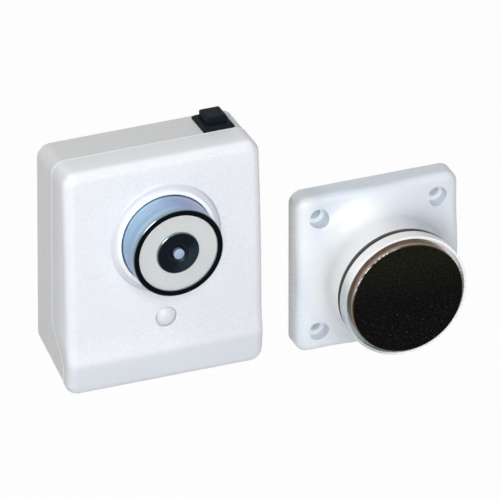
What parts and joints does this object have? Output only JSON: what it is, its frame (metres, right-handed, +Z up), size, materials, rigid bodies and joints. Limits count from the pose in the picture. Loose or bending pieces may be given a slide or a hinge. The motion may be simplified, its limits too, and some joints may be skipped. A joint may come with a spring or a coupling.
{
  "type": "electromagnetic door holder",
  "caption": "Electromagnetic door holder: a wall box with a pot magnet and release button, and a swivelling armature disc on a square door plate.",
  "frame": {"origin": "where the magnet's axis meets the wall plane, the back face of both units", "axes": "+X to the right seen from the room, +Y into the wall, +Z up; the magnet faces -Y"},
  "size_m": [0.186, 0.05, 0.123],
  "materials": {
    "white_plastic": "fine textured white ABS",
    "keeper_plastic": "smooth white ABS, slightly blue",
    "black_plastic": "satin black",
    "zinc_steel": "turned steel with blue zinc plating, polished pole faces",
    "nickel_steel": "polished and plated",
    "plain_steel": "bright zinc",
    "spring_steel": "drawn wire",
    "cast_resin": "pale grey casting resin",
    "copper_wire": "enamelled copper",
    "bobbin_nylon": "natural nylon",
    "brass": "turned brass",
    "board": "glass epoxy with green lacquer",
    "terminal_plastic": "green moulding",
    "diode_black": "moulded epoxy",
    "grommet_rubber": "soft black rubber",
    "acetal": "white acetal",
    "washer_rubber": "dark brown rubber"
  },
  "bodies": {
    "fixed_parts": {"rear_base": "white_plastic", "front_cover": "white_plastic", "screw_cap": "white_plastic", "cover_screw": "plain_steel", "mounting_plate": "plain_steel", "plate_screws": "plain_steel", "magnet_fixing_screw": "plain_steel", "magnet_pot": "zinc_steel", "coil_bobbin": "bobbin_nylon", "coil_winding": "copper_wire", "seal_ring": "cast_resin", "pin_guide": "zinc_steel", "pin_spring": "spring_steel", "circuit_board": "board", "board_screws": "plain_steel", "terminal_block": "terminal_plastic", "terminal_screws": "plain_steel", "suppressor_diode": "diode_black", "cable_grommet": "grommet_rubber", "button_bezel": "black_plastic", "contact_blades": "brass", "button_spring": "spring_steel", "keeper_base": "keeper_plastic", "swivel_washer": "washer_rubber", "retaining_plug": "acetal", "retaining_screws": "plain_steel"},
    "button": {"button_cap": "black_plastic", "contact_bridge": "brass"},
    "pin": {"kick_off_pin": "brass"},
    "liner": {"ball_liner": "acetal"},
    "armature": {"ball_stud": "plain_steel", "disc_holder": "keeper_plastic", "armature_disc": "nickel_steel"}
  },
  "joints": [
    {"name": "button_press", "type": "slide", "parent": "fixed_parts", "child": "button", "axis": [0, 0, -1], "range_m": [0, 0.0025], "stiffness_N_per_m": 600, "springref_m": -0.003, "deforming": ["button_spring"]},
    {"name": "pin_push", "type": "slide", "parent": "fixed_parts", "child": "pin", "axis": [0, 1, 0], "range_m": [0, 0.001], "stiffness_N_per_m": 2000, "springref_m": -0.002, "deforming": ["pin_spring"]},
    {"name": "armature_nod", "type": "hinge", "parent": "fixed_parts", "child": "liner", "pos_m": [0.1055, -0.0285, -0.0459], "axis": [1, 0, 0], "range_deg": [-3, 3]},
    {"name": "armature_swing", "type": "hinge", "parent": "liner", "child": "armature", "pos_m": [0.1055, -0.0285, -0.0459], "axis": [0, 0, 1], "range_deg": [-3, 3]}
  ]
}
